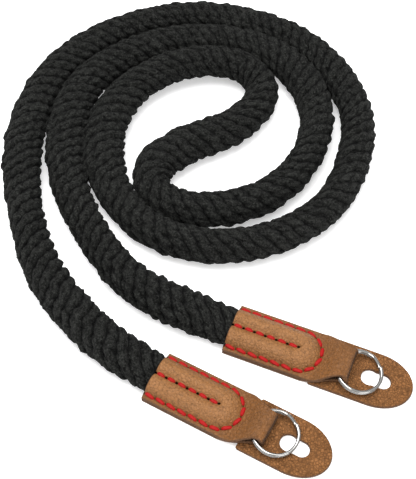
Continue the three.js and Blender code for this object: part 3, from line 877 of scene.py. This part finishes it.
def ring_surface(letter, settings):
    """A split ring: wire along a flat helix of nearly two turns. It runs one turn on the lower level,
    climbs by a smooth step over a short arc and runs on above itself. The section is an oval,
    (x/a)^2 + (z/b)^2 = 1, which closes to a point at both cut ends."""
    along = np.linspace(0.0, 1.0, 361)[:, None]
    run = 4 * math.pi - RING_STEP
    phi = along * run
    around = np.linspace(0, 2 * math.pi, 25)[None, :]
    a, b = settings.wire_width / MM / 2, settings.wire_height / MM / 2
    c, s = np.cos(around), np.sin(around)
    close = rounding(np.minimum(phi, run - phi) * RING_MID_R, WIRE_END_ROUND)
    climb = mix(-1.0, 1.0, smooth(2 * math.pi - RING_STEP, 2 * math.pi, phi)) * COIL_SPACING / 2
    r = RING_MID_R + a * c * close
    z = climb + b * s * close
    at = phi + RING_STARTS[letter]
    x, y = r * np.cos(at), r * np.sin(at)
    lean_c, lean_s = math.cos(RING_SLOPE), math.sin(RING_SLOPE)
    out, height = ENDS[letter]["ring_x"] + x * lean_c + z * lean_s, RING_Z - x * lean_s + z * lean_c
    points = np.stack([out, y, height], axis=-1)
    uv = np.stack([phi * RING_MID_R / 10 + 0 * around, around / 20 + 0 * phi], axis=-1)
    return place_end(points, letter), uv, {}


def nickel_material(settings):
    """Bright nickel plate with faint lines along the wire and a slight dulling in patches."""
    material, tree, shader = new_material("nickel_plate")
    uv = add(tree, "ShaderNodeUVMap", uv_map="surface").outputs[0]
    drawn = add(tree, "ShaderNodeMapping", {0: uv, 3: (1.5, 90.0, 1.0)}).outputs[0]
    lines = noise(tree, drawn, 3.0, 4.0, 0.7)
    place = add(tree, "ShaderNodeTexCoord").outputs["Object"]
    dull = noise(tree, place, 500.0, 2.0)
    rough = sums(tree, "MULTIPLY", ramp(tree, dull, 0.3, 0.7, 0.85, 1.2), settings.roughness)
    tone = blend(tree, ramp(tree, lines, 0.3, 0.7), *NICKEL)
    fill(tree, shader, {"Base Color": tone, "Roughness": rough, "Metallic": 1.0})
    return material


class STRAP_OT_rings(Operator):
    """Make the two split rings, each of two coils of wire"""

    bl_idname = "strap.make_rings"
    bl_label = "Split rings"

    def execute(self, context):
        settings = context.scene.strap_ring
        material = nickel_material(settings)
        for letter in ENDS:
            make_piece("ring_coils_" + letter, [ring_surface(letter, settings)], material, "ring_" + letter,
                       ["split_ring_" + letter])
        return {"FINISHED"}


def stitch_surface(letter, threads, below):
    """All stitches of one end. Each is a plump thread from hole to hole: its line rises as 1 - (2t - 1)^4
    and dips into the leather at both ends, its section is an oval that closes at the ends, and three
    twisted plies ripple it. Those below lie in the sleeve's underside."""
    x, y, way, reach, _, _ = row_places(threads)
    t = np.linspace(0.0, 1.0, 17)[None, :, None]
    around = np.linspace(0.0, 2 * math.pi, 15)[None, None, :]
    x, y, way, reach = (value[:, None, None] for value in (x, y, way, reach))
    way = way + (-STITCH_TURN if below else STITCH_TURN)
    shown = np.where(np.arange(len(x)) < threads.side_stitches, SIDE_RUN, MIDDLE_RUN)[:, None, None]
    run = (t - 0.5) * reach * shown
    dome = 1 - (2 * t - 1) ** 4
    close = np.sqrt(np.clip(1 - np.abs(2 * t - 1) ** 5, 0.0, 1.0))
    ply = 1 + PLY_RELIEF * np.cos(PLIES * around + t * reach / PLY_LENGTH)
    wide = THREAD_HALF_W * close * ply * np.cos(around)
    high = THREAD_HALF_W * THREAD_FLATNESS * close * ply * np.sin(around)
    line_x, line_y = x + run * np.cos(way), y + run * np.sin(way)
    px, py = line_x - wide * np.sin(way), line_y + wide * np.cos(way)
    if below:
        z = UNDER_STITCH_Z[0] + UNDER_STITCH_Z[1] * (1 - dome) + high
    else:
        z = sleeve_top(np.maximum(line_x, 0.0), line_y) - STITCH_SUNK + STITCH_RISE * dome + high
    uv = np.stack([t * reach / 10 + 0 * around, around / 20 + 0 * t * reach], axis=-1)
    return place_end(np.stack([px, py + ENDS[letter]["sleeve_y"], z], axis=-1), letter), uv, {}


def thread_material(settings):
    """Red waxed thread: twisted plies as slanted waves in the UV map, with painted shade darker between them,
    and fuzz.
    """
    material, tree, shader = new_material("red_waxed_thread")
    uv = add(tree, "ShaderNodeUVMap", uv_map="surface").outputs[0]
    slanted = add(tree, "ShaderNodeMapping", {0: uv, 2: (0.0, 0.0, 0.6)}).outputs[0]
    plies = add(tree, "ShaderNodeTexWave", {"Vector": slanted, "Scale": 9.0, "Distortion": 1.5}).outputs[1]
    place = add(tree, "ShaderNodeTexCoord").outputs["Object"]
    fuzz = noise(tree, place, 3000.0, 2.0)
    # Painted shade between the plies
    tone = blend(tree, ramp(tree, plies, 0.1, 0.9), rgba(settings.color, 0.6), rgba(settings.color, 1.12))
    tone = blend(tree, ramp(tree, fuzz, 0.55, 0.8, 0.0, 0.3), tone, FUZZ_COLOR)
    normal = bump(tree, fuzz, 0.25, 0.0001, bump(tree, plies, 0.35, 0.0001))
    fill(tree, shader, {"Base Color": tone, "Normal": normal, "Roughness": 0.6, "Specular IOR Level": 0.2})
    return material


class STRAP_OT_stitching(Operator):
    """Sew both sleeves with red thread"""

    bl_idname = "strap.make_stitching"
    bl_label = "Red stitching"

    def execute(self, context):
        settings = context.scene.strap_thread
        material = thread_material(settings)
        for letter in ENDS:
            grids = [stitch_surface(letter, settings, below) for below in (False, True)]
            make_piece("stitching_" + letter, grids, material, "strap")
        return {"FINISHED"}


def area_light(name, location, size, power):
    """A square soft light at a place, in metres, turned towards the origin."""
    light = bpy.data.lights.new(name, "AREA")
    light.shape = "SQUARE"
    light.size = size
    light.energy = power
    lamp = bpy.data.objects.new(name, light)
    lamp.location = location
    way = -np.array(location)
    lamp.rotation_euler = (
        math.acos(-way[2] / np.linalg.norm(way)), 0.0, math.atan2(way[1], way[0]) - math.pi / 2)
    bpy.context.scene.collection.objects.link(lamp)


class STRAP_OT_stage(Operator):
    """Set up the camera, the pale floor and the soft light"""

    bl_idname = "strap.make_stage"
    bl_label = "Camera, floor and light"

    def execute(self, context):
        scene, settings = context.scene, context.scene.strap_stage
        data = bpy.data.cameras.new("camera")
        data.sensor_width = SENSOR
        data.sensor_fit = "AUTO"
        data.lens = FOCAL_PIXELS * SENSOR / max(PHOTO_SIZE)
        data.clip_start, data.clip_end = 0.01, 20.0
        camera = bpy.data.objects.new("camera", data)
        camera.location = [value * MM for value in CAMERA_AT]
        camera.rotation_euler = (math.radians(90.0 - CAMERA_ELEVATION), 0.0, 0.0)
        scene.collection.objects.link(camera)
        scene.camera = camera

        mesh = bpy.data.meshes.new("floor")
        corners = ((-1, -1), (1, -1), (1, 1), (-1, 1))
        mesh.from_pydata([(x * FLOOR_HALF, y * FLOOR_HALF, 0) for x, y in corners], [], [(0, 1, 2, 3)])
        material, tree, shader = new_material("pale_floor")
        pale = rgba(settings.floor_color)
        fill(tree, shader, {
            "Base Color": pale, "Roughness": 0.9, "Specular IOR Level": 0.0, "Emission Color": pale,
            "Emission Strength": settings.floor_glow})
        mesh.materials.append(material)
        floor = bpy.data.objects.new("floor", mesh)
        scene.collection.objects.link(floor)

        world = bpy.data.worlds.new("studio")
        world.use_nodes = True
        tree = world.node_tree
        way = add(tree, "ShaderNodeTexCoord").outputs["Generated"]
        rise = add(tree, "ShaderNodeSeparateXYZ", {0: way}).outputs[2]
        # Pale at the horizon, a darker band over it for the metal to reflect, and bright overhead
        horizon = ramp(tree, rise, 0.06, 0.2, 1.35, 0.0)
        overhead = ramp(tree, rise, 0.35, 0.75, 0.1, 1.15)
        light = sums(tree, "MAXIMUM", horizon, overhead)
        fill(tree, tree.nodes["Background"], {"Color": light, "Strength": settings.sky})
        scene.world = world
        for name, location, size, share in LIGHTS:
            area_light(name, location, size, settings.key_power * share)
        scene.view_settings.view_transform = "Standard"
        return {"FINISHED"}


class STRAP_PT_panel(Panel):
    """Buttons and settings for the strap, in the order of its making"""

    bl_idname = "STRAP_PT_panel"
    bl_label = "Camera strap"
    bl_space_type = "VIEW_3D"
    bl_region_type = "UI"
    bl_category = "Strap"

    def draw(self, context):
        for kind, group in STEPS:
            box = self.layout.box()
            box.operator(kind.bl_idname)
            if group:
                settings = getattr(context.scene, group)
                for name in settings.__annotations__:
                    box.prop(settings, name)


SETTINGS = {
    "strap_stage": StrapStageSettings,
    "strap_rope": StrapRopeSettings,
    "strap_leather": StrapLeatherSettings,
    "strap_ring": StrapRingSettings,
    "strap_thread": StrapThreadSettings,
}
STEPS = [
    (STRAP_OT_stage, "strap_stage"),
    (STRAP_OT_rope, "strap_rope"),
    (STRAP_OT_sleeves, "strap_leather"),
    (STRAP_OT_guards, None),
    (STRAP_OT_rings, "strap_ring"),
    (STRAP_OT_stitching, "strap_thread"),
]
CLASSES = [*SETTINGS.values(), *(kind for kind, _ in STEPS), STRAP_PT_panel]


def register():
    for kind in CLASSES:
        bpy.utils.register_class(kind)
    for name, kind in SETTINGS.items():
        setattr(bpy.types.Scene, name, PointerProperty(type=kind))


def unregister():
    for name in SETTINGS:
        delattr(bpy.types.Scene, name)
    for kind in reversed(CLASSES):
        bpy.utils.unregister_class(kind)


def main():
    register()
    bpy.ops.strap.make_stage()
    bpy.ops.strap.make_rope()
    bpy.ops.strap.make_sleeves()
    bpy.ops.strap.make_guards()
    bpy.ops.strap.make_rings()
    bpy.ops.strap.make_stitching()


if __name__ == "__main__":
    main()
